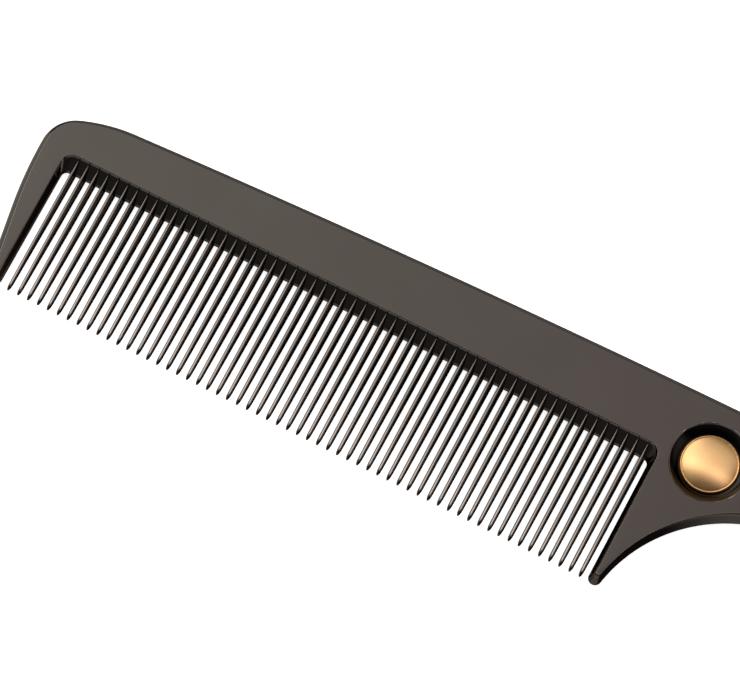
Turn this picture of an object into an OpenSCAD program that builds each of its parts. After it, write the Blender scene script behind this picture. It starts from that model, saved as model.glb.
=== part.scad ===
// Tail comb with a fixed stud, lying flat with its front face up.
// One glossy moulding carries the back, both guards, the teeth and the handle.
// A domed cap sits in a round well on each face of the handle, and one post
// through the handle joins the two caps.
//
// X runs along the comb from the guard to the tail, and the teeth point to -Y.
// The rear face lies on Z = 0, and the origin is under the middle of the comb.

/* [Overall] */
// Length from the outside of the end guard to the tip of the tail
overall_l = 225; // [180:1:280]
// Thickness between the two flat faces
thickness = 3.6; // [2.4:0.1:6]

/* [Teeth] */
// Number of teeth
tooth_count = 58; // [30:1:70]
// Distance from one tooth to the next
tooth_pitch = 1.7; // [1.4:0.05:2.2]
// Length of a tooth from the bottom of the gaps to its tip
tooth_l = 20.8; // [14:0.1:24]
// Width of a tooth at its root, across its middle
root_w = 0.96; // [0.6:0.02:1.1]
// Width of a tooth where its rounded tip starts
tip_w = 0.66; // [0.4:0.02:0.9]
// Width of the narrow crest along the front and the back of a tooth
crest_w = 0.32; // [0.1:0.02:0.4]
// How far the crest of a tooth lies below the flat face, at the root
crest_drop = 0.15; // [0.05:0.05:0.5]
// Thickness of a tooth where its rounded tip starts
tip_t = 1.3; // [0.8:0.1:1.8]

/* [Back] */
// Height of the crown of the upper edge above the bottom of the gaps
back_h = 13.6; // [10:0.1:17]
// Distance from the last tooth to the crown, along the comb
crown_x = 35; // [20:1:45]
// Radius of the long arch of the upper edge
arch_r = 2350; // [1200:50:4000]
// Width of the thin web between the flat face and the bottom of the gaps
web_w = 2.6; // [1.5:0.1:4]
// Width of the slope that runs round the other edges of the moulding
edge_w = 0.95; // [0.4:0.05:1.2]

/* [End guard] */
// Distance from the first tooth to the guard
guard_gap = 1.48; // [1:0.02:2.5]
// Width of the guard at its widest
guard_w = 5.38; // [4.8:0.02:8]
// How far the guard and the heel reach past the tooth tips
guard_reach = 0.2; // [0:0.1:2]
// Angle at which the outside of the guard runs in towards the teeth
guard_taper = 9.5; // [5:0.5:11]
// Radius of the outside of the guard above its straight part
guard_r = 70; // [40:1:90]
// Radius of the upper corner
corner_r = 5.7; // [4:0.1:8]
// Radius of the easing between the corner and the arch
easing_r = 27; // [15:1:40]

/* [Heel and handle] */
// Distance from the last tooth to the heel
heel_gap = 1.14; // [1:0.02:2.5]
// Least width of the heel, were its curve carried on below the tip
heel_w = 1.73; // [1.2:0.01:3]
// Radius of the hollow curve under the handle
heel_r = 23.8; // [19:0.1:30]
// How far the hollow curve stays below the bottom of the gaps
neck_drop = 0.6; // [0:0.1:3]
// Width of the slope along the hollow curve, under the handle
underside_w = 1.5; // [0.8:0.1:2]
// Width of the slope along the hollow curve, at the tip of the heel
toe_w = 0.5; // [0.4:0.1:0.8]
// Radius of the end of the tail
tail_end_r = 1.9; // [1.4:0.1:2.6]

/* [Stud] */
// Distance of the stud from the inner edge of the heel
stud_x = 8.4; // [7.5:0.1:12]
// Height of the stud above the bottom of the gaps
stud_y = 3.7; // [2:0.1:6]
// Diameter of each cap
cap_d = 9.1; // [6:0.1:10]
// Height of the straight rim of each cap
cap_rim = 0.22; // [0.1:0.02:0.4]
// Height of the dome above the rim
cap_dome = 0.86; // [0.4:0.02:0.9]
// Width of the sloping ring from a cap out to the mouth of its well
well_ring = 1.6; // [0.6:0.1:1.8]
// Room between a cap and the foot of its well
well_play = 0.1; // [0.05:0.05:0.4]
// How far the crown of a cap stays below the flat face
cap_below = 0.12; // [0:0.02:0.3]
// Diameter of the post that joins the caps
post_d = 2.6; // [1.6:0.1:4]
// Room round the post in the handle
post_play = 0.1; // [0:0.02:0.3]
// Depth to which the post goes into each cap
post_socket = 0.6; // [0.3:0.05:0.7]

/* [Hidden] */
$fn = 96;

mid_z = thickness / 2;
root_t = thickness - 2 * crest_drop;
row_l = (tooth_count - 1) * tooth_pitch;

// The moulding's outline in the plane of its teeth. The first tooth is at X = 0,
// and the gaps end at Y = 0.
guard_x = -guard_gap;
left_x = guard_x - guard_w;
heel_x = row_l + heel_gap;
right_x = left_x + overall_l;
tip_y = -tooth_l - guard_reach;
arch_c = [row_l + crown_x, back_h - arch_r];
end_x = right_x - tail_end_r;

// The easing starts where its arc and the corner's arc bring the outline to left_x.
easing_a = 112;
start_x = (left_x + corner_r - (easing_r - corner_r) * cos(easing_a)
           - easing_r * arch_c.x / arch_r) / (1 - easing_r / arch_r);
start_a = 90 + asin((arch_c.x - start_x) / arch_r);
easing_c = arch_c + (arch_r - easing_r) * dir(start_a);
corner_c = easing_c + (easing_r - corner_r) * dir(easing_a);
guard_c = corner_c + (guard_r - corner_r) * [1, 0];

// The arch ends part of the way to the tail's tip and runs on as a straight line.
arch_share = 0.6;
fall_a = 90 - asin(arch_share * (end_x - arch_c.x) / arch_r);
fall_p = arch_c + arch_r * dir(fall_a);
fall_l = (end_x - fall_p.x + tail_end_r * cos(fall_a)) / sin(fall_a);
end_c = fall_p + fall_l * dir(fall_a - 90) - tail_end_r * dir(fall_a);

heel_c = [heel_x + heel_w + heel_r, -neck_drop - heel_r];

// Rounding of the window corners at mid thickness and at the flat faces
window_r = [0.8, 2];
// How far the flat face stops short of the two points
guard_tip_in = 1.5;
heel_tip_in = 1.2;

// Middle of the outline's box, which goes over the origin
centre = [(left_x + right_x) / 2, (back_h + tip_y) / 2];

stud_at = [heel_x + stud_x, stud_y];
well_d = cap_d + 2 * well_ring;
well_depth = cap_rim + cap_dome + cap_below;
floor_h = thickness - 2 * well_depth;
dome_r = (pow(cap_d / 2, 2) + pow(cap_dome, 2)) / (2 * cap_dome);

// Where the moulding divides into its simple lengths
tail_x = heel_c.x + 6;
neck_x = heel_x + (edge_w + stud_x - well_d / 2) / 2;
guards_top = -window_r[0] - 0.2;
heel_top = min(guards_top, stud_at.y - well_d / 2) - 1.2;

function dir(a) = [cos(a), sin(a)];

// Points along an arc. One that carries on from the arc before it leaves out its
// first point, which is the last one of that arc.
function arc(c, r, from, to, steps, first = 0) =
    [for (i = [first:steps]) c + r * dir(from + (to - from) * i / steps)];

// Radius of the heel's tip: it touches the inner edge, the hollow curve and the tip line.
function heel_tip_r(a, b, r) = a + b + r - sqrt(pow(a + b + r, 2) - a * a - b * b + r * r);

// Radius of the guard's tip: it touches the inner edge, the tapered side and the tip line.
function guard_tip_r(run, drop) =
    (cos(guard_taper) * run + sin(guard_taper) * drop)
    / (1 + cos(guard_taper) - sin(guard_taper));

// In what follows k says which height an edge is at: 0 is mid thickness, where the
// moulding is widest, and 1 is a flat face.
function arch_pts(k, from, to, steps) = arc(arch_c, arch_r - edge_w * k, from, to, steps);
function hollow_r(k) = heel_r + underside_w * k;
function hollow_c(k) = heel_c + [(underside_w - toe_w) * k, 0];

// Angle of the straight underside, which touches the hollow curve and the tail's end
function under_a(k) =
    let (reach = end_c - hollow_c(k))
    atan2(reach.y, reach.x) - asin((hollow_r(k) + tail_end_r - edge_w * k) / norm(reach));

function under_pt(x, k) =
    let (touch = hollow_c(k) + hollow_r(k) * dir(under_a(k) + 90))
    [x, touch.y + (x - touch.x) * tan(under_a(k))];

// Places on the arcs over a length x, or at a height y
function arch_a(x, k) = acos((x - arch_c.x) / (arch_r - edge_w * k));
function hollow_a(y, k) = 180 - asin((y - heel_c.y) / hollow_r(k));
function guard_a(y, k) = 180 - asin((y - guard_c.y) / (guard_r - edge_w * k));

function inner_left(y, k) = [guard_x - edge_w * k, y];
function inner_right(y, k) = [heel_x + edge_w * k, y];

// Each length of the moulding is a ring of points in the comb's plane.
function spine_ring(k) =
    concat(
        [[neck_x, guards_top]],
        arch_pts(k, arch_a(neck_x, k), start_a, 22),
        arc(easing_c, easing_r - edge_w * k, start_a, easing_a, 6, 1),
        arc(corner_c, corner_r - edge_w * k, easing_a, 180, 10, 1),
        arc(guard_c, guard_r - edge_w * k, 180, guard_a(guards_top, k), 3, 1));

// The window over the teeth, cut between the guards
function window_ring(k) =
    let (corner = window_r[0] + (window_r[1] - window_r[0]) * k,
         top_y = web_w * k - corner,
         low_y = guards_top - 1)
    concat(
        [inner_right(low_y, k)],
        arc([heel_x + edge_w * k - corner, top_y], corner, 0, 90, 5),
        arc([guard_x - edge_w * k + corner, top_y], corner, 90, 180, 5),
        [inner_left(low_y, k)]);

function end_guard_ring(k) =
    let (in_x = guard_x - edge_w * k,
         side = guard_c + (guard_r - edge_w * k) * dir(180 + guard_taper),
         low_y = tip_y + guard_tip_in * k,
         r = guard_tip_r(in_x - side.x, low_y - side.y))
    concat(
        [inner_left(guards_top, k)],
        arc(guard_c, guard_r - edge_w * k, guard_a(guards_top, k), 180 + guard_taper, 5),
        arc([in_x - r, low_y + r], r, 180 + guard_taper, 360, 10));

function heel_guard_ring(k) =
    let (in_x = heel_x + edge_w * k,
         low_y = tip_y + heel_tip_in * k,
         r = heel_tip_r(hollow_c(k).x - in_x, hollow_c(k).y - low_y, hollow_r(k)),
         c = [in_x + r, low_y + r],
         touch_a = 180 + atan2(hollow_c(k).y - c.y, hollow_c(k).x - c.x))
    concat(
        [[neck_x, heel_top], [neck_x, guards_top], inner_right(guards_top, k)],
        arc(c, r, 180, 180 + touch_a, 6),
        arc(hollow_c(k), hollow_r(k), touch_a, hollow_a(heel_top, k), 8, 1));

function handle_ring(k) =
    concat(
        arch_pts(k, arch_a(tail_x, k), arch_a(neck_x, k), 8),
        [[neck_x, heel_top]],
        arc(hollow_c(k), hollow_r(k), hollow_a(heel_top, k), under_a(k) + 90, 12),
        [under_pt(tail_x, k)]);

function tail_ring(k) =
    concat(
        arc(end_c, tail_end_r - edge_w * k, under_a(k) - 90, fall_a, 12),
        arch_pts(k, fall_a, arch_a(tail_x, k), 12),
        [under_pt(tail_x, k)]);

// Solid through rings of points that all have the same count, from the lowest up. Each
// side is two triangles, and the sides in turned are divided by their other diagonal.
// Both end faces are divided from the ring's first point, which must see all the others.
module loft(rings, turned = []) {
    count = len(rings[0]);
    last = len(rings) - 1;
    top = last * count;
    sides = [for (j = [0:last - 1], i = [0:count - 1])
             let (a = j * count + i, b = j * count + (i + 1) % count)
             each len([for (t = turned) if (t == i) t]) > 0
                 ? [[a, a + count, b + count], [a, b + count, b]]
                 : [[a, a + count, b], [b, a + count, b + count]]];
    polyhedron(points = [for (ring = rings) each ring],
               faces = concat([for (i = [1:count - 2]) [0, i, i + 1]], sides,
                              [for (i = [1:count - 2]) [top, top + i + 1, top + i]]),
               convexity = 10);
}

function level(points, z) = [for (p = points) [p.x, p.y, z]];

module through_rings(at_mid, at_face) {
    loft([level(at_face, 0), level(at_mid, mid_z), level(at_face, thickness)]);
}

module in_frame() {
    translate([-centre.x, -centre.y, 0]) children();
}

// Six-sided cross-section of a tooth at a distance along it
function tooth_section(x, y, w, t, crest) =
    [[x - w / 2, y, mid_z], [x - crest / 2, y, mid_z + t / 2], [x + crest / 2, y, mid_z + t / 2],
     [x + w / 2, y, mid_z], [x + crest / 2, y, mid_z - t / 2], [x - crest / 2, y, mid_z - t / 2]];

// Part of a tooth below the bottom of the gaps. Turning two of its flanks' diagonals
// makes all four flanks bulge alike, so the tooth is convex.
module tooth(x) {
    round_l = tip_w;
    round_share = 0.5;
    flanks = [0, 3];
    loft([tooth_section(x, -tooth_l, tip_w * round_share, tip_t * round_share,
                        crest_w * round_share),
          tooth_section(x, -tooth_l + round_l, tip_w, tip_t, crest_w),
          tooth_section(x, 0, root_w, root_t, crest_w)], flanks);
}

// Rib that carries a tooth up over the web to the flat face
module rib(x) {
    rib_share = 0.92;
    loft([tooth_section(x, 0, root_w, root_t, crest_w),
          tooth_section(x, web_w * rib_share, root_w, thickness, crest_w / 2)]);
}

// Cutter for the window: it narrows from above one face to mid thickness, and widens
// again to below the other face.
module window() {
    out = 1;
    k_out = 1 + out / mid_z;
    loft([level(window_ring(k_out), -out),
          level(window_ring(0), mid_z),
          level(window_ring(k_out), thickness + out)]);
}

module spine() {
    color("#4d4845") in_frame() {
        difference() {
            through_rings(spine_ring(0), spine_ring(1));
            window();
        }
        for (i = [0:tooth_count - 1]) rib(i * tooth_pitch);
    }
}

module end_guard() {
    color("#4d4845") in_frame() through_rings(end_guard_ring(0), end_guard_ring(1));
}

module heel_guard() {
    color("#4d4845") in_frame() through_rings(heel_guard_ring(0), heel_guard_ring(1));
}

// Cutter for a well, standing on its floor and reaching out of the flat face
module well() {
    foot_d = cap_d + 2 * well_play;
    cylinder(d1 = foot_d, d2 = well_d, h = well_depth);
    translate([0, 0, well_depth]) cylinder(d = well_d, h = 1);
}

module handle() {
    color("#4d4845") in_frame() difference() {
        through_rings(handle_ring(0), handle_ring(1));
        translate([stud_at.x, stud_at.y, thickness - well_depth]) well();
        translate([stud_at.x, stud_at.y, well_depth]) mirror([0, 0, 1]) well();
        translate([stud_at.x, stud_at.y, -1])
            cylinder(d = post_d + 2 * post_play, h = thickness + 2);
    }
}

module tail() {
    color("#4d4845") in_frame() through_rings(tail_ring(0), tail_ring(1));
}

module teeth() {
    color("#3f3b39") in_frame() for (i = [0:tooth_count - 1]) tooth(i * tooth_pitch);
}

// Cap standing on Z = 0: a short straight rim, a dome and a socket for the post
module cap() {
    difference() {
        intersection() {
            cylinder(d = cap_d, h = cap_rim + cap_dome);
            translate([0, 0, cap_rim + cap_dome - dome_r]) sphere(r = dome_r);
        }
        translate([0, 0, -1]) cylinder(d = post_d, h = post_socket + 1);
    }
}

module front_cap() {
    color("#d9ae62") in_frame()
        translate([stud_at.x, stud_at.y, thickness - well_depth]) cap();
}

module back_cap() {
    color("#d9ae62") in_frame()
        translate([stud_at.x, stud_at.y, well_depth]) mirror([0, 0, 1]) cap();
}

module stud_post() {
    color("#b9bcc0") in_frame()
        translate([stud_at.x, stud_at.y, well_depth - post_socket])
            cylinder(d = post_d, h = floor_h + 2 * post_socket);
}

spine();
end_guard();
heel_guard();
handle();
tail();
teeth();
front_cap();
back_cap();
stud_post();
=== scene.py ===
# %% [markdown]
# A tail comb lies on a plain pale floor, front face up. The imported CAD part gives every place
# and size, and this script builds the looks round it: one seamless moulding, its teeth, and
# the two gold caps of the stud. Lengths here are metres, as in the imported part.

import math

import bmesh
import bpy
import numpy as np
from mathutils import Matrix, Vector
from mathutils.geometry import delaunay_2d_cdt


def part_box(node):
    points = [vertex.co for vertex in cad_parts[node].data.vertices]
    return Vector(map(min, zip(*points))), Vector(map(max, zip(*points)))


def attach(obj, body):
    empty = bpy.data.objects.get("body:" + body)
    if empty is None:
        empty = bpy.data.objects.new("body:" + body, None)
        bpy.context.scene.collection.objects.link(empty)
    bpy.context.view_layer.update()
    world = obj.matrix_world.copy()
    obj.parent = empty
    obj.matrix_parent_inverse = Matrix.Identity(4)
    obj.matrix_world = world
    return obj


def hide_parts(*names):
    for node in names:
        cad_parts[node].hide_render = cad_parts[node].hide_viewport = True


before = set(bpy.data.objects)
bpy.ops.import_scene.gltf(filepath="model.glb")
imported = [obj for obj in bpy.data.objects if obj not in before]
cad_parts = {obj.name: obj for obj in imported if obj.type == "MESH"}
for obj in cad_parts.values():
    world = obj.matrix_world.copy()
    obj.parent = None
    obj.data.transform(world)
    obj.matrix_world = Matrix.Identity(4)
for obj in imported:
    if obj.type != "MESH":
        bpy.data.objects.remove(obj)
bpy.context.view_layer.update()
MM = 0.001


def node_box(name):
    """Lowest and highest corner of a CAD node, in millimetres."""
    low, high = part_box(name)
    return np.array(low) / MM, np.array(high) / MM


print("nodes:", sorted(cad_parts))

# %% [markdown]
# The outline is laid out from the imported nodes' boxes. The spine's box gives the left end
# of the back and the thickness, the guards and the tail give the ends, and the teeth give the
# row. The crown's height over the gap line, the radii and the slopes are the moulding's own
# design values.

# %% Sizes and places, in millimetres
spine_low, spine_high = node_box("spine")
guard_low, guard_high = node_box("end_guard")
heel_low, heel_high = node_box("heel_guard")
tail_low, tail_high = node_box("tail")
teeth_low, teeth_high = node_box("teeth")
cap_low, cap_high = node_box("front_cap")
post_low, post_high = node_box("stud_post")

THICK = spine_high[2]
MID = THICK / 2
ROOT_W = 0.96
TOOTH_COUNT = 58
FIRST_X = teeth_low[0] + ROOT_W / 2
LAST_X = teeth_high[0] - ROOT_W / 2
PITCH = (LAST_X - FIRST_X) / (TOOTH_COUNT - 1)
GAP_Y = teeth_high[1]
TIP_Y = guard_low[1]

EDGE_W = 0.95
WEB_W = 2.6
GUARD_X = guard_high[0]
HEEL_X = heel_low[0]
LEFT_X = spine_low[0]
RIGHT_X = tail_high[0]
print("pitch", round(PITCH, 3), "gap line", round(GAP_Y, 2), "thickness", round(THICK, 2))
print("left", round(LEFT_X, 2), "guard", round(GUARD_X, 2), "heel", round(HEEL_X, 2))

# %% [markdown]
# The back of the comb is a very flat arch that rises to a crown behind the neck and falls
# again towards the tail. A tighter easing and a round corner turn it down into the end guard,
# whose outside runs in towards the teeth and ends in a small rounded tip. The heel has a
# hollow curve that sweeps up under the handle. All of these are arcs that touch one another,
# because that is how such a mould is drawn and how a reflection runs on unbroken.

# %% Arcs of the outline
ARCH_R = 2350.0
CROWN_Y = GAP_Y + 13.6
ARCH_C = np.array([LAST_X + 35, CROWN_Y - ARCH_R])
EASING_R = 27.0
EASING_A = 112.0
CORNER_R = 5.7
GUARD_R = 70.0
TAPER = 9.5
TAIL_R = 1.9
ARCH_SHARE = 0.6
HEEL_R = 23.8
UNDER_W = 1.5
TOE_W = 0.5
GUARD_TIP_IN = 1.5
HEEL_TIP_IN = 1.2
WINDOW_R = (0.8, 2.0)


def sin(a):
    return math.sin(math.radians(a))


def cos(a):
    return math.cos(math.radians(a))


def along(a):
    """Unit vector at an angle in degrees."""
    return np.array([cos(a), sin(a)])


def arc(centre, r, start, stop, steps, first=0):
    """Points along an arc, leaving out the ones before `first`."""
    return [centre + r * along(start + (stop - start) * i / steps) for i in range(first, steps + 1)]


start_x = (LEFT_X + CORNER_R - (EASING_R - CORNER_R) * cos(EASING_A)
           - EASING_R * ARCH_C[0] / ARCH_R) / (1 - EASING_R / ARCH_R)
START_A = 90 + math.degrees(math.asin((ARCH_C[0] - start_x) / ARCH_R))
EASING_C = ARCH_C + (ARCH_R - EASING_R) * along(START_A)
CORNER_C = EASING_C + (EASING_R - CORNER_R) * along(EASING_A)
GUARD_C = CORNER_C + np.array([GUARD_R - CORNER_R, 0])

end_x = RIGHT_X - TAIL_R
FALL_A = 90 - math.degrees(math.asin(ARCH_SHARE * (end_x - ARCH_C[0]) / ARCH_R))
fall_p = ARCH_C + ARCH_R * along(FALL_A)
fall_l = (end_x - fall_p[0] + TAIL_R * cos(FALL_A)) / sin(FALL_A)
END_C = fall_p + fall_l * along(FALL_A - 90) - TAIL_R * along(FALL_A)
HEEL_C = np.array([HEEL_X + 1.73 + HEEL_R, GAP_Y - 0.6 - HEEL_R])
print("tail end", END_C.round(2), "heel curve", HEEL_C.round(2))

# %% [markdown]
# Every edge of the moulding falls away from the flat face to a line at mid thickness, but not
# all in the same way. The outside is softly rounded, the insides of the guards are flat
# slopes, the web over the gaps has a short steep step under the face, and the hollow under
# the handle has a broad round. The mould leaves a small round wherever two surfaces meet, and
# on a mirror-like finish that round is what catches the light as a thin line.

# %% Cross-sections of the edges
t = np.linspace(0, 1, 18)
RISE = np.unique(np.concatenate([[0.015, 0.04, 0.08], 1 - (1 - t) ** 1.7]))
ROUNDNESS = 1.35
OUTER = 1.04 * (1 - (1 - RISE ** ROUNDNESS) ** (1 / ROUNDNESS))
INNER = np.interp(RISE, [0, 0.04, 0.10, 0.86, 0.93, 0.975, 1],
                  [0.03, 0.045, 0.095, 0.845, 0.925, 0.985, 1.05])
WEB = np.interp(RISE, [0, 0.05, 0.12, 0.20, 0.28, 0.80, 0.88, 0.94, 0.98, 1],
                [0, 0.006, 0.02, 0.055, 0.12, 0.86, 0.92, 0.955, 0.98, 1.01])
UNDER = np.interp(RISE, [0, 0.05, 0.12, 0.70, 0.80, 0.88, 0.94, 0.98, 1],
                  [0.02, 0.04, 0.10, 0.66, 0.77, 0.88, 0.98, 1.05, 1.14])
print("rings from mid thickness to a face:", len(RISE))

# %% [markdown]
# The outline at one level is a closed ring of points: the edges step in as the level nears
# a face, and the tips of the guards step in with them.

# %% Ring of the outline at one level
def guard_tip(outer, inner):
    side = GUARD_C + (GUARD_R - EDGE_W * outer) * along(180 + TAPER)
    in_x = GUARD_X - EDGE_W * inner
    low_y = TIP_Y + GUARD_TIP_IN * outer
    run, drop = in_x - side[0], low_y - side[1]
    r = (cos(TAPER) * run + sin(TAPER) * drop) / (1 + cos(TAPER) - sin(TAPER))
    return np.array([in_x - r, low_y + r]), r


def hollow(under):
    """Centre and radius of the hollow curve. Its slope widens from the toe to the handle."""
    return HEEL_C + np.array([(UNDER_W - TOE_W) * under, 0]), HEEL_R + UNDER_W * under


def heel_tip(inner, under):
    in_x = HEEL_X + EDGE_W * inner
    low_y = TIP_Y + HEEL_TIP_IN * under
    centre, r = hollow(under)
    a, b = centre - np.array([in_x, low_y])
    tip_r = a + b + r - math.sqrt((a + b + r) ** 2 - a * a - b * b + r * r)
    return np.array([in_x + tip_r, low_y + tip_r]), tip_r


def under_angle(outer, under):
    centre, r = hollow(under)
    reach = END_C - centre
    total = r + TAIL_R - EDGE_W * outer
    return math.degrees(math.atan2(reach[1], reach[0]) - math.asin(total / np.linalg.norm(reach)))


def outline(level):
    """Closed ring of points round the whole moulding, in one order at every level."""
    outer, inner, under = OUTER[level], INNER[level], UNDER[level]
    inset = EDGE_W * outer
    tip_c, tip_r = guard_tip(outer, inner)
    toe_c, toe_r = heel_tip(inner, under)
    hollow_c, hollow_r = hollow(under)
    touch = hollow_c - toe_c
    touch_a = math.degrees(math.atan2(touch[1], touch[0]))
    corner = WINDOW_R[0] + (WINDOW_R[1] - WINDOW_R[0]) * inner
    web_y = GAP_Y + WEB_W * WEB[level] - corner
    left = np.array([GUARD_X - EDGE_W * inner + corner, web_y])
    right = np.array([HEEL_X + EDGE_W * inner - corner, web_y])
    slant = under_angle(outer, under)
    ring = arc(END_C, TAIL_R - inset, slant - 90, FALL_A, 20)
    ring += arc(ARCH_C, ARCH_R - inset, FALL_A, START_A, 120)
    ring += arc(EASING_C, EASING_R - inset, START_A, EASING_A, 14, 1)
    ring += arc(CORNER_C, CORNER_R - inset, EASING_A, 180, 22, 1)
    ring += arc(GUARD_C, GUARD_R - inset, 180, 180 + TAPER, 16, 1)
    ring += arc(tip_c, tip_r, 180 + TAPER, 360, 26)
    ring += arc(left, corner, 180, 90, 14)
    ring += arc(right, corner, 90, 0, 14)
    ring += arc(toe_c, toe_r, 180, 360 + touch_a, 22)
    ring += arc(hollow_c, hollow_r, 180 + touch_a, slant + 90, 60, 1)
    return np.array(ring)


RING_SIZE = len(outline(0))
print("points in a ring:", RING_SIZE)


def bend(a, corner, b, steps):
    """Points of a smooth bend from a to b that turns at a corner."""
    ts = np.linspace(0, 1, steps + 1)[:, None]
    a, corner, b = (np.array(v, float) for v in (a, corner, b))
    return ((1 - ts) ** 2 * a + 2 * ts * (1 - ts) * corner + ts ** 2 * b).tolist()


# %% [markdown]
# Meshes are put together from rings of points. Normals are averaged by face area, so the
# broad flat faces stay dead flat in the reflections and only the narrow rounds bend them.


# %% Mesh helpers
def strips(count, start, rows, closed=True):
    """Quads between rows of points that follow one another in the vertex list."""
    quads = []
    for j in range(rows - 1):
        a, b = start + j * count, start + (j + 1) * count
        for i in range(count if closed else count - 1):
            n = (i + 1) % count
            quads.append((a + i, b + i, b + n, a + n))
    return quads


def shade_by_area(mesh):
    """Smooth normals, each the mean of its faces weighted by their areas."""
    total = np.zeros((len(mesh.vertices), 3))
    for face in mesh.polygons:
        weighted = np.array(face.normal) * face.area
        for v in face.vertices:
            total[v] += weighted
    length = np.linalg.norm(total, axis=1)
    length[length == 0] = 1
    mesh.polygons.foreach_set("use_smooth", [True] * len(mesh.polygons))
    mesh.normals_split_custom_set_from_vertices((total / length[:, None]).tolist())


def make_piece(name, points_mm, faces):
    """One mesh object from points in millimetres."""
    mesh = bpy.data.meshes.new(name)
    mesh.from_pydata((np.array(points_mm) * MM).tolist(), [], faces)
    solid = bmesh.new()
    solid.from_mesh(mesh)
    bmesh.ops.recalc_face_normals(solid, faces=solid.faces)
    solid.to_mesh(mesh)
    solid.free()
    mesh.update()
    shade_by_area(mesh)
    piece = bpy.data.objects.new(name, mesh)
    bpy.context.collection.objects.link(piece)
    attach(piece, "root")
    return piece


# %% [markdown]
# The stud stands in a round well, one in each face of the handle. The well is a dish: from a
# small rounded lip its wall slopes in to the foot of the cap, and the floor under the cap runs
# on to the hole for the post. Building it into the body's own surface keeps the lip seamless.

# %% The moulding's body
STUD = (cap_low[:2] + cap_high[:2]) / 2
WELL_R = 6.15
WELL_FLOOR = cap_low[2]
CAP_R = (cap_high[0] - cap_low[0]) / 2
CAP_H = cap_high[2] - cap_low[2]
BORE_R = (post_high[0] - post_low[0]) / 2 + 0.1
WELL_SIDES = 144


def well_rings():
    """Radius and height of each ring, from the lip down to the bore."""
    lip, foot = 0.16, CAP_R + 0.08
    depth = THICK - WELL_FLOOR
    rings = bend((WELL_R + lip, THICK), (WELL_R, THICK), (WELL_R - lip * 0.5, THICK - lip), 6)
    rings += bend((WELL_R - 0.28, THICK - 0.28 * depth), (WELL_R - 0.9, WELL_FLOOR + 0.22 * depth),
                  (foot, WELL_FLOOR + 0.03), 8)
    rings += [[foot - 0.05, WELL_FLOOR], [3.0, WELL_FLOOR], [BORE_R, WELL_FLOOR]]
    return rings


def circle(r, z):
    turns = np.linspace(0, 2 * math.pi, WELL_SIDES, endpoint=False)
    return [[STUD[0] + r * math.cos(t), STUD[1] + r * math.sin(t), z] for t in turns]


def flat_face(ring, hole):
    """Triangles of the flat face between the outline and the well's lip."""
    flat = [Vector(p) for p in ring] + [Vector(p[:2]) for p in hole]
    n, m = len(ring), len(hole)
    loops = [list(range(n)), list(range(n, n + m))]
    points, _, faces, origin, _, _ = delaunay_2d_cdt(flat, [], loops, 1, 1e-7)
    assert len(points) == n + m
    index = [o[0] for o in origin]
    kept = []
    for face in faces:
        middle = sum((points[v] for v in face), Vector((0, 0))) / 3
        if (middle - Vector(STUD)).length > WELL_R:
            kept.append(tuple(index[v] for v in face))
    return kept


def build_body():
    points, faces = [], []
    top = len(RISE) - 1
    for level in range(top, -top - 1, -1):
        z = MID - math.copysign(MID * RISE[abs(level)], level)
        points += [[x, y, z] for x, y in outline(abs(level))]
    rows = 2 * top + 1
    faces += strips(RING_SIZE, 0, rows)
    profile = well_rings()
    top_start = len(points)
    for r, z in profile:
        points += circle(r, z)
    low_start = len(points)
    for r, z in profile:
        points += circle(r, THICK - z)
    lip_caps = flat_face(outline(top), circle(profile[0][0], 0))
    top_ring = (rows - 1) * RING_SIZE

    def place(v, ring_at, well_at):
        return ring_at + v if v < RING_SIZE else well_at + v - RING_SIZE

    for face in lip_caps:
        faces.append(tuple(place(v, top_ring, top_start) for v in face))
        faces.append(tuple(place(v, 0, low_start) for v in face[::-1]))
    plain = len(faces)
    rows = len(profile)
    faces += [q[::-1] for q in strips(WELL_SIDES, top_start, rows)]
    faces += strips(WELL_SIDES, low_start, rows)
    top_bore = top_start + (rows - 1) * WELL_SIDES
    low_bore = low_start + (rows - 1) * WELL_SIDES
    for i in range(WELL_SIDES):
        n = (i + 1) % WELL_SIDES
        faces.append((top_bore + i, top_bore + n, low_bore + n, low_bore + i))
    piece = make_piece("comb_body", points, faces)
    # Well faces below the lip are listed here for the nearly black copy of the plating, which is
    # painted shade.
    lip_rows = 6
    in_well = [plain <= i and (i - plain) % ((rows - 1) * WELL_SIDES) >= lip_rows * WELL_SIDES
               for i in range(len(faces))]
    return piece, in_well


body, in_well = build_body()
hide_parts("spine", "end_guard", "heel_guard", "handle", "tail")
print("body faces", len(body.data.polygons))

# %% [markdown]
# A tooth is a slim blade with a nearly diamond section: broad at mid thickness, with a narrow
# crest on the front and the back. It thins towards its tip, where it is rounded so it doesn't
# scratch the scalp. Above the gap line it carries on as a rib that rides up the web and
# fades out just under the flat face.

# %% Teeth


def tooth_ring(x, y, w, t, crest):
    """Section of a tooth, rounded at its crests and at its two sides."""
    half = []
    half += bend((w / 2 * 0.97, -t * 0.05), (w / 2 * 1.0, 0), (w / 2 * 0.97, t * 0.05), 2)
    half += bend((crest / 2 + (w - crest) / 2 * 0.26, t / 2 * 0.78), (crest / 2, t / 2),
                 (crest / 2 * 0.1, t / 2), 4)
    half += bend((-crest / 2 * 0.1, t / 2), (-crest / 2, t / 2),
                 (-crest / 2 - (w - crest) / 2 * 0.26, t / 2 * 0.78), 4)
    half += bend((-w / 2 * 0.97, t * 0.05), (-w / 2, 0), (-w / 2 * 0.97, -t * 0.05), 2)
    half += bend((-crest / 2 - (w - crest) / 2 * 0.26, -t / 2 * 0.78), (-crest / 2, -t / 2),
                 (-crest / 2 * 0.1, -t / 2), 4)
    half += bend((crest / 2 * 0.1, -t / 2), (crest / 2, -t / 2),
                 (crest / 2 + (w - crest) / 2 * 0.26, -t / 2 * 0.78), 4)
    return [[x + px, y, MID + pz] for px, pz in half]


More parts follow.
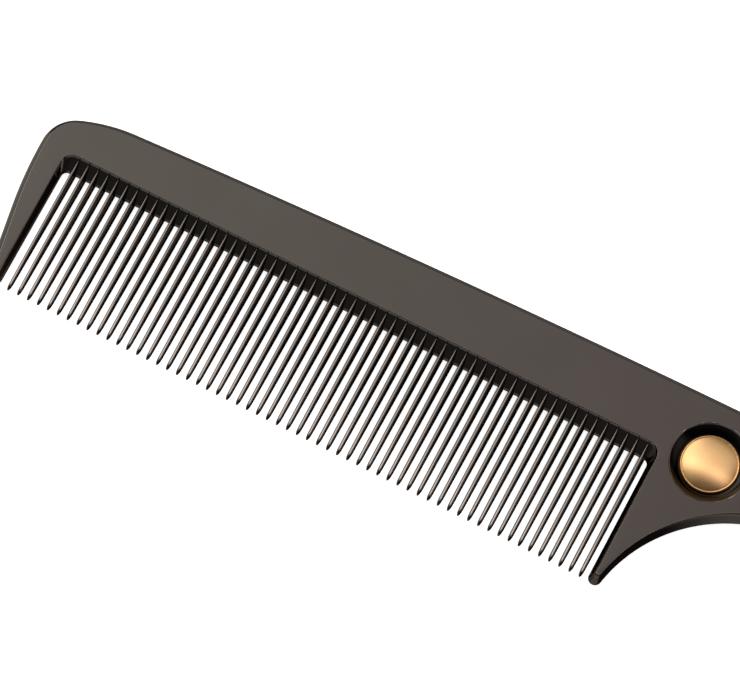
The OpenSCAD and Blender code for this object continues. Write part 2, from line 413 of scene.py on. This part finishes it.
# distance below the gap line, width, thickness, crest width
TOOTH_L = GAP_Y - teeth_low[1]
SIDE_ROUND = 0.05
STATIONS = [(-2.40, 0.90, THICK - 0.02, 0.05), (-1.9, 0.93, 3.52, 0.12), (-1.2, 0.96, 3.44, 0.20),
            (-0.4, 0.985, 3.34, 0.27), (0.4, 0.99, 3.27, 0.30), (2.6, 0.98, 3.05, 0.32),
            (5.1, 0.95, 2.80, 0.32), (8.5, 0.90, 2.48, 0.32), (11.9, 0.83, 2.15, 0.32),
            (15.3, 0.76, 1.82, 0.31), (17.5, 0.72, 1.56, 0.29), (19.5, 0.66, 1.24, 0.26)]
for turn in (25, 45, 62, 76, 86):
    share = cos(turn)
    STATIONS.append((19.5 + (TOOTH_L - 19.5) * sin(turn), 0.66 * share, 1.24 * share, 0.26 * share))


def build_teeth():
    points, faces = [], []
    for i in range(TOOTH_COUNT):
        x = FIRST_X + i * PITCH
        start = len(points)
        for down, w, t, crest in STATIONS:
            points += tooth_ring(x, GAP_Y - down, w + SIDE_ROUND, t, crest)
        size = (len(points) - start) // len(STATIONS)
        faces += strips(size, start, len(STATIONS))
        last = start + (len(STATIONS) - 1) * size
        faces.append(tuple(range(start, start + size)))
        faces.append(tuple(range(last + size - 1, last - 1, -1)))
    return make_piece("comb_teeth", points, faces)


teeth = build_teeth()
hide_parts("teeth")
print("teeth faces", len(teeth.data.polygons))

# %% [markdown]
# Each cap is a shallow pressed dome with a rolled rim. A fine groove parts the dome from the
# rim, and that groove and the rim's round give the ring of light round the stud.

# %% Caps of the stud
CAP_SIDES = 160


def cap_profile():
    """Radius and height of each ring, from the crown of the dome out and under."""
    rim = 0.34
    dome_edge = CAP_R - rim - 0.06
    edge_h = 0.30
    radius = (dome_edge ** 2 + (CAP_H - edge_h) ** 2) / (2 * (CAP_H - edge_h))
    sweep = math.degrees(math.asin(dome_edge / radius))
    rings = []
    for i in range(1, 33):
        a = sweep * i / 32
        rings.append([radius * sin(a), CAP_H - radius + radius * cos(a)])
    rings += bend((CAP_R - rim - 0.03, 0.27), (CAP_R - rim, 0.24), (CAP_R - rim + 0.03, 0.27), 3)
    rings += bend((CAP_R - rim + 0.06, 0.33), (CAP_R - rim * 0.5, 0.44), (CAP_R - 0.07, 0.30), 6)
    rings += bend((CAP_R - 0.03, 0.26), (CAP_R, 0.2), (CAP_R, 0.12), 4)
    rings += bend((CAP_R, 0.06), (CAP_R, 0.005), (CAP_R - 0.06, 0.005), 3)
    rings += [[BORE_R, 0.005]]
    return rings


def build_cap(name, base_z, up):
    profile = cap_profile()
    turns = np.linspace(0, 2 * math.pi, CAP_SIDES, endpoint=False)
    points = [[STUD[0], STUD[1], base_z + up * CAP_H]]
    for r, h in profile:
        points += [[STUD[0] + r * math.cos(t), STUD[1] + r * math.sin(t), base_z + up * h]
                   for t in turns]
    faces = [(0, 1 + i, 1 + (i + 1) % CAP_SIDES) for i in range(CAP_SIDES)]
    faces += [q[::-1] if up > 0 else q for q in strips(CAP_SIDES, 1, len(profile))]
    faces = [f if up > 0 or len(f) == 4 else f[::-1] for f in faces]
    last = 1 + (len(profile) - 1) * CAP_SIDES
    under = tuple(range(last, last + CAP_SIDES))
    faces.append(under[::-1] if up > 0 else under)
    return make_piece(name, points, faces)


front = build_cap("stud_cap_front", WELL_FLOOR, 1)
back = build_cap("stud_cap_back", THICK - WELL_FLOOR, -1)
for piece, node in ((front, "front_cap"), (back, "back_cap")):
    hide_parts(node)
print("cap radius", round(CAP_R, 2), "height", round(CAP_H, 2))

# %% [markdown]
# One small effect serves every finish: a fine, uneven polish. A slow noise makes the gloss
# wander a little and a stretched one draws faint hairline scratches. Each material places the
# group with its own values.


# %% Shared node group: uneven polish
def polish_group():
    group = bpy.data.node_groups.new("uneven_polish", "ShaderNodeTree")
    face = group.interface
    for name, value in (("Wander Scale", 120.0), ("Scratch Scale", 900.0), ("Low", 0.05),
                        ("High", 0.12), ("Scratch Depth", 0.3)):
        face.new_socket(name, in_out="INPUT", socket_type="NodeSocketFloat").default_value = value
    for name in ("Roughness", "Height", "Mask"):
        face.new_socket(name, in_out="OUTPUT", socket_type="NodeSocketFloat")
    nodes, links = group.nodes, group.links
    inp, out = nodes.new("NodeGroupInput"), nodes.new("NodeGroupOutput")
    coord = nodes.new("ShaderNodeTexCoord")
    wander = nodes.new("ShaderNodeTexNoise")
    wander.inputs["Detail"].default_value = 4.0
    links.new(coord.outputs["Object"], wander.inputs["Vector"])
    links.new(inp.outputs["Wander Scale"], wander.inputs["Scale"])
    stretch = nodes.new("ShaderNodeMapping")
    stretch.inputs["Scale"].default_value = (0.06, 1.0, 1.0)
    stretch.inputs["Rotation"].default_value = (0.0, 0.0, 0.35)
    links.new(coord.outputs["Object"], stretch.inputs["Vector"])
    hair = nodes.new("ShaderNodeTexNoise")
    hair.inputs["Detail"].default_value = 2.0
    links.new(stretch.outputs["Vector"], hair.inputs["Vector"])
    links.new(inp.outputs["Scratch Scale"], hair.inputs["Scale"])
    thin = nodes.new("ShaderNodeMapRange")
    thin.inputs["From Min"].default_value = 0.62
    thin.inputs["From Max"].default_value = 0.74
    links.new(hair.outputs["Fac"], thin.inputs["Value"])
    lines = nodes.new("ShaderNodeMath")
    lines.operation = "MULTIPLY"
    links.new(thin.outputs["Result"], lines.inputs[0])
    links.new(inp.outputs["Scratch Depth"], lines.inputs[1])
    mixed = nodes.new("ShaderNodeMath")
    mixed.operation = "ADD"
    links.new(wander.outputs["Fac"], mixed.inputs[0])
    links.new(lines.outputs["Value"], mixed.inputs[1])
    rough = nodes.new("ShaderNodeMapRange")
    rough.inputs["From Min"].default_value = 0.3
    rough.inputs["From Max"].default_value = 0.9
    links.new(mixed.outputs["Value"], rough.inputs["Value"])
    links.new(inp.outputs["Low"], rough.inputs["To Min"])
    links.new(inp.outputs["High"], rough.inputs["To Max"])
    height = nodes.new("ShaderNodeMath")
    height.operation = "SUBTRACT"
    links.new(wander.outputs["Fac"], height.inputs[0])
    links.new(lines.outputs["Value"], height.inputs[1])
    links.new(rough.outputs["Result"], out.inputs["Roughness"])
    links.new(height.outputs["Value"], out.inputs["Height"])
    links.new(wander.outputs["Fac"], out.inputs["Mask"])
    return group


polish = polish_group()


def polished(name, dark, light, metallic, values, bump_strength, bump_distance):
    """A Principled material whose colour, roughness and bump come from the polish group."""
    mat = bpy.data.materials.new(name)
    mat.use_nodes = True
    nodes, links = mat.node_tree.nodes, mat.node_tree.links
    shader = nodes["Principled BSDF"]
    shader.inputs["Metallic"].default_value = metallic
    shader.inputs["Coat Roughness"].default_value = 0.03
    use = nodes.new("ShaderNodeGroup")
    use.node_tree = polish
    for socket, value in values.items():
        use.inputs[socket].default_value = value
    tint = nodes.new("ShaderNodeMix")
    tint.data_type = "RGBA"
    tint.inputs["A"].default_value = (*dark, 1)
    tint.inputs["B"].default_value = (*light, 1)
    links.new(use.outputs["Mask"], tint.inputs["Factor"])
    links.new(tint.outputs["Result"], shader.inputs["Base Color"])
    links.new(use.outputs["Roughness"], shader.inputs["Roughness"])
    bump = nodes.new("ShaderNodeBump")
    bump.inputs["Strength"].default_value = bump_strength
    bump.inputs["Distance"].default_value = bump_distance
    links.new(use.outputs["Height"], bump.inputs["Height"])
    links.new(bump.outputs["Normal"], shader.inputs["Normal"])
    return mat


# %% [markdown]
# The moulding is plated with black chrome: a metal finish that mirrors its surroundings at
# about a quarter of their brightness, slightly warm. The wells get a nearly black copy of the
# plating, which is painted shade: the recess's darkness is put into their colour. The caps are
# satin gold, rougher, so the dome shows a soft glow. The post is plain drawn wire.

# %% Materials
plating = polished("black_chrome", (0.262, 0.234, 0.212), (0.290, 0.260, 0.236), 1.0,
                   {"Wander Scale": 90.0, "Scratch Scale": 1400.0, "Low": 0.05, "High": 0.09,
                    "Scratch Depth": 0.12}, 0.03, 0.00001)
# A nearly black copy of the plating for the wells: painted shade for the recess.
painted_shade_plating = polished("black_chrome_painted_shade", (0.026, 0.024, 0.023), (0.034, 0.031, 0.030), 1.0,
                        {"Wander Scale": 90.0, "Scratch Scale": 1400.0, "Low": 0.06,
                         "High": 0.12, "Scratch Depth": 0.12}, 0.03, 0.00001)
gold = polished("satin_gold", (0.84, 0.50, 0.21), (0.90, 0.57, 0.28), 1.0,
                {"Wander Scale": 420.0, "Scratch Scale": 2600.0, "Low": 0.28, "High": 0.36,
                 "Scratch Depth": 0.3}, 0.10, 0.00003)
wire = polished("drawn_wire", (0.52, 0.52, 0.53), (0.62, 0.62, 0.63), 1.0,
                {"Wander Scale": 700.0, "Scratch Scale": 3000.0, "Low": 0.25, "High": 0.4,
                 "Scratch Depth": 0.6}, 0.2, 0.00003)
for piece, mat in ((body, plating), (teeth, plating), (front, gold), (back, gold)):
    piece.data.materials.clear()
    piece.data.materials.append(mat)
# The well faces below the lip take the nearly black copy, painted shade for the recess.
body.data.materials.append(painted_shade_plating)
body.data.polygons.foreach_set("material_index", [int(v) for v in in_well])
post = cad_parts["stud_post"]
post.data.materials.clear()
post.data.materials.append(wire)
print("materials:", ", ".join(m.name for m in (plating, painted_shade_plating, gold, wire)))

# %% [markdown]
# The comb lies on a plain white table. A mirror-like product on white loses its edges, so a
# photographer places card round it. Here the table is left out of reflections, and what the
# edges mirror from below is part of the sky, in the next step.

# %% Floor
FLOOR_HALF = 3.0
FLOOR_Z = -0.00003
TABLE_WHITE = 0.86
TABLE_GLOW = 0.92
floor_mesh = bpy.data.meshes.new("table_top")
steps = 24
grid = np.linspace(-FLOOR_HALF, FLOOR_HALF, steps + 1)
floor_mesh.from_pydata([(x, y, FLOOR_Z) for y in grid for x in grid], [],
                       [(j * (steps + 1) + i, j * (steps + 1) + i + 1,
                         (j + 1) * (steps + 1) + i + 1, (j + 1) * (steps + 1) + i)
                        for j in range(steps) for i in range(steps)])
floor = bpy.data.objects.new("table_top", floor_mesh)
bpy.context.collection.objects.link(floor)

table = bpy.data.materials.new("white_table")
table.use_nodes = True
paint = table.node_tree.nodes["Principled BSDF"]
paint.inputs["Base Color"].default_value = (TABLE_WHITE, TABLE_WHITE, TABLE_WHITE, 1)
paint.inputs["Roughness"].default_value = 0.9
paint.inputs["Specular IOR Level"].default_value = 0.0
paint.inputs["Emission Color"].default_value = (1, 1, 1, 1)
paint.inputs["Emission Strength"].default_value = TABLE_GLOW
floor.visible_glossy = False
floor.data.materials.append(table)
print("table top:", 2 * FLOOR_HALF, "m square")

# %% [markdown]
# The light comes from a broad soft ceiling that is even over the comb, a little brighter to
# the left, and falls off to dark in front. It is a smooth sky, so the flat faces mirror one
# even grey. Glows to the left and the right draw the thin lines on the rounds. The half below
# the horizon stands in for card on the table: nearly black, with one pale sheet low on the
# left that the flanks of the teeth pick up.

# %% Sky
world = bpy.data.worlds.new("studio")
bpy.context.scene.world = world
world.use_nodes = True
nodes, links = world.node_tree.nodes, world.node_tree.links
nodes.clear()
coord = nodes.new("ShaderNodeTexCoord")
split = nodes.new("ShaderNodeSeparateXYZ")
links.new(coord.outputs["Generated"], split.inputs["Vector"])


def ramp(value, low, high, out_low, out_high):
    node = nodes.new("ShaderNodeMapRange")
    node.interpolation_type = "SMOOTHSTEP"
    for socket, number in (("From Min", low), ("From Max", high), ("To Min", out_low),
                           ("To Max", out_high)):
        node.inputs[socket].default_value = number
    links.new(value, node.inputs["Value"])
    return node.outputs["Result"]


def combine(operation, a, b):
    node = nodes.new("ShaderNodeMath")
    node.operation = operation
    for socket, value in zip(node.inputs, (a, b)):
        if isinstance(value, float):
            socket.default_value = value
        else:
            links.new(value, socket)
    return node.outputs["Value"]


x_way, y_way, z_way = (split.outputs[c] for c in "XYZ")
ceiling = combine("MULTIPLY", ramp(z_way, 0.72, 0.9, 0.0, 1.0),
                  ramp(y_way, -0.35, 0.1, 0.05, 1.0))
ceiling = combine("MULTIPLY", ceiling, ramp(x_way, -0.30, 0.05, 0.43, 0.23))
strip = combine("MULTIPLY", ramp(y_way, 0.12, 0.23, 1.0, 0.0), ramp(y_way, -0.10, 0.06, 0.0, 1.0))
strip = combine("MULTIPLY", strip, ramp(z_way, 0.7, 0.95, 0.0, 1.8))
left = combine("MULTIPLY", ramp(x_way, -0.6, -0.26, 1.0, 0.0), ramp(z_way, 0.1, 0.4, 0.03, 1.7))
right = combine("MULTIPLY", ramp(x_way, 0.55, 0.95, 0.0, 1.0), ramp(z_way, 0.05, 0.3, 0.05, 0.45))
sides = combine("MULTIPLY", combine("ADD", left, right), ramp(y_way, -0.25, 0.1, 0.03, 1.0))
front_glow = combine("MULTIPLY", ramp(y_way, -1.0, -0.2, 1.0, 0.0),
                     ramp(z_way, 0.0, 0.6, 0.30, 0.03))
sky = combine("ADD", combine("ADD", ceiling, strip), combine("ADD", front_glow, 0.015))
sky = combine("ADD", sky, sides)
y_size = combine("ABSOLUTE", y_way, 0.0)
sheet = combine("MULTIPLY", ramp(x_way, -0.34, -0.18, 0.6, 0.0),
                ramp(x_way, -0.62, -0.40, 0.45, 1.0))
sheet = combine("MULTIPLY", sheet, ramp(y_size, 0.34, 0.46, 1.0, 0.0))
card = combine("ADD", sheet, ramp(y_size, 0.35, 0.95, 0.012, 0.2))
over = combine("GREATER_THAN", z_way, 0.0)
above = combine("MULTIPLY", sky, over)
below = combine("MULTIPLY", card, combine("SUBTRACT", 1.0, over))
green = combine("MULTIPLY", above, ramp(x_way, -0.2, 0.0, 0.99, 0.89))
blue = combine("MULTIPLY", above, ramp(x_way, -0.2, 0.0, 0.95, 0.90))
warm = nodes.new("ShaderNodeCombineColor")
links.new(combine("ADD", above, below), warm.inputs["Red"])
links.new(combine("ADD", green, combine("MULTIPLY", below, 0.95)), warm.inputs["Green"])
links.new(combine("ADD", blue, combine("MULTIPLY", below, 0.90)), warm.inputs["Blue"])
lit = nodes.new("ShaderNodeBackground")
links.new(warm.outputs["Color"], lit.inputs["Color"])
seen = nodes.new("ShaderNodeBackground")
seen.inputs["Color"].default_value = (1, 1, 1, 1)
path = nodes.new("ShaderNodeLightPath")
swap = nodes.new("ShaderNodeMixShader")
sky_out = nodes.new("ShaderNodeOutputWorld")
links.new(path.outputs["Is Camera Ray"], swap.inputs["Fac"])
links.new(lit.outputs["Background"], swap.inputs[1])
links.new(seen.outputs["Background"], swap.inputs[2])
links.new(swap.outputs["Shader"], sky_out.inputs["Surface"])
print("sky nodes:", len(nodes))

# %% [markdown]
# Two soft boxes help the sky. One hangs over the table and stays out of reflections. The
# other lights only the caps of the stud.

# %% Soft boxes
def soft_box(name, place, target, size, power, glossy=True):
    light = bpy.data.lights.new(name, "AREA")
    light.shape = "RECTANGLE"
    light.size, light.size_y = size
    light.energy = power
    light.color = (1.0, 0.97, 0.94)
    obj = bpy.data.objects.new(name, light)
    bpy.context.collection.objects.link(obj)
    obj.location = place
    obj.rotation_euler = (Vector(target) - Vector(place)).to_track_quat("-Z", "Y").to_euler()
    obj.visible_glossy = glossy
    obj.visible_camera = False
    return obj


soft_box("overhead", (-0.2, 0.3, 1.4), (0, 0, 0), (1.4, 1.4), 9.0, glossy=False)
gold_light = soft_box("stud_light", (STUD[0] * MM + 0.06, 0.43, 0.70), (STUD[0] * MM, 0.005, 0.003),
                      (0.85, 0.70), 1.30)
lit_pieces = bpy.data.collections.new("stud_lit")
for piece in (front, back):
    lit_pieces.objects.link(piece)
gold_light.light_linking.receiver_collection = lit_pieces

# %% [markdown]
# The camera looks down on the front face from beyond the teeth, a little turned, with a long
# lens.

# %% Camera
SENSOR_W = 36.0
LENS = 287.8
CAMERA_PLACE = (0.06436, -0.24467, 0.85214)
CAMERA_TURN = (17.77, -0.63, 27.65)
camera_data = bpy.data.cameras.new("camera")
camera_data.sensor_width = SENSOR_W
camera_data.lens = LENS
camera_data.clip_start = 0.01
camera_data.clip_end = 50.0
camera = bpy.data.objects.new("camera", camera_data)
bpy.context.collection.objects.link(camera)
camera.location = CAMERA_PLACE
camera.rotation_mode = "YXZ"
camera.rotation_euler = tuple(math.radians(a) for a in CAMERA_TURN)
bpy.context.scene.camera = camera
bpy.context.scene.view_settings.view_transform = "Standard"
print("camera with a lens of", LENS, "mm")
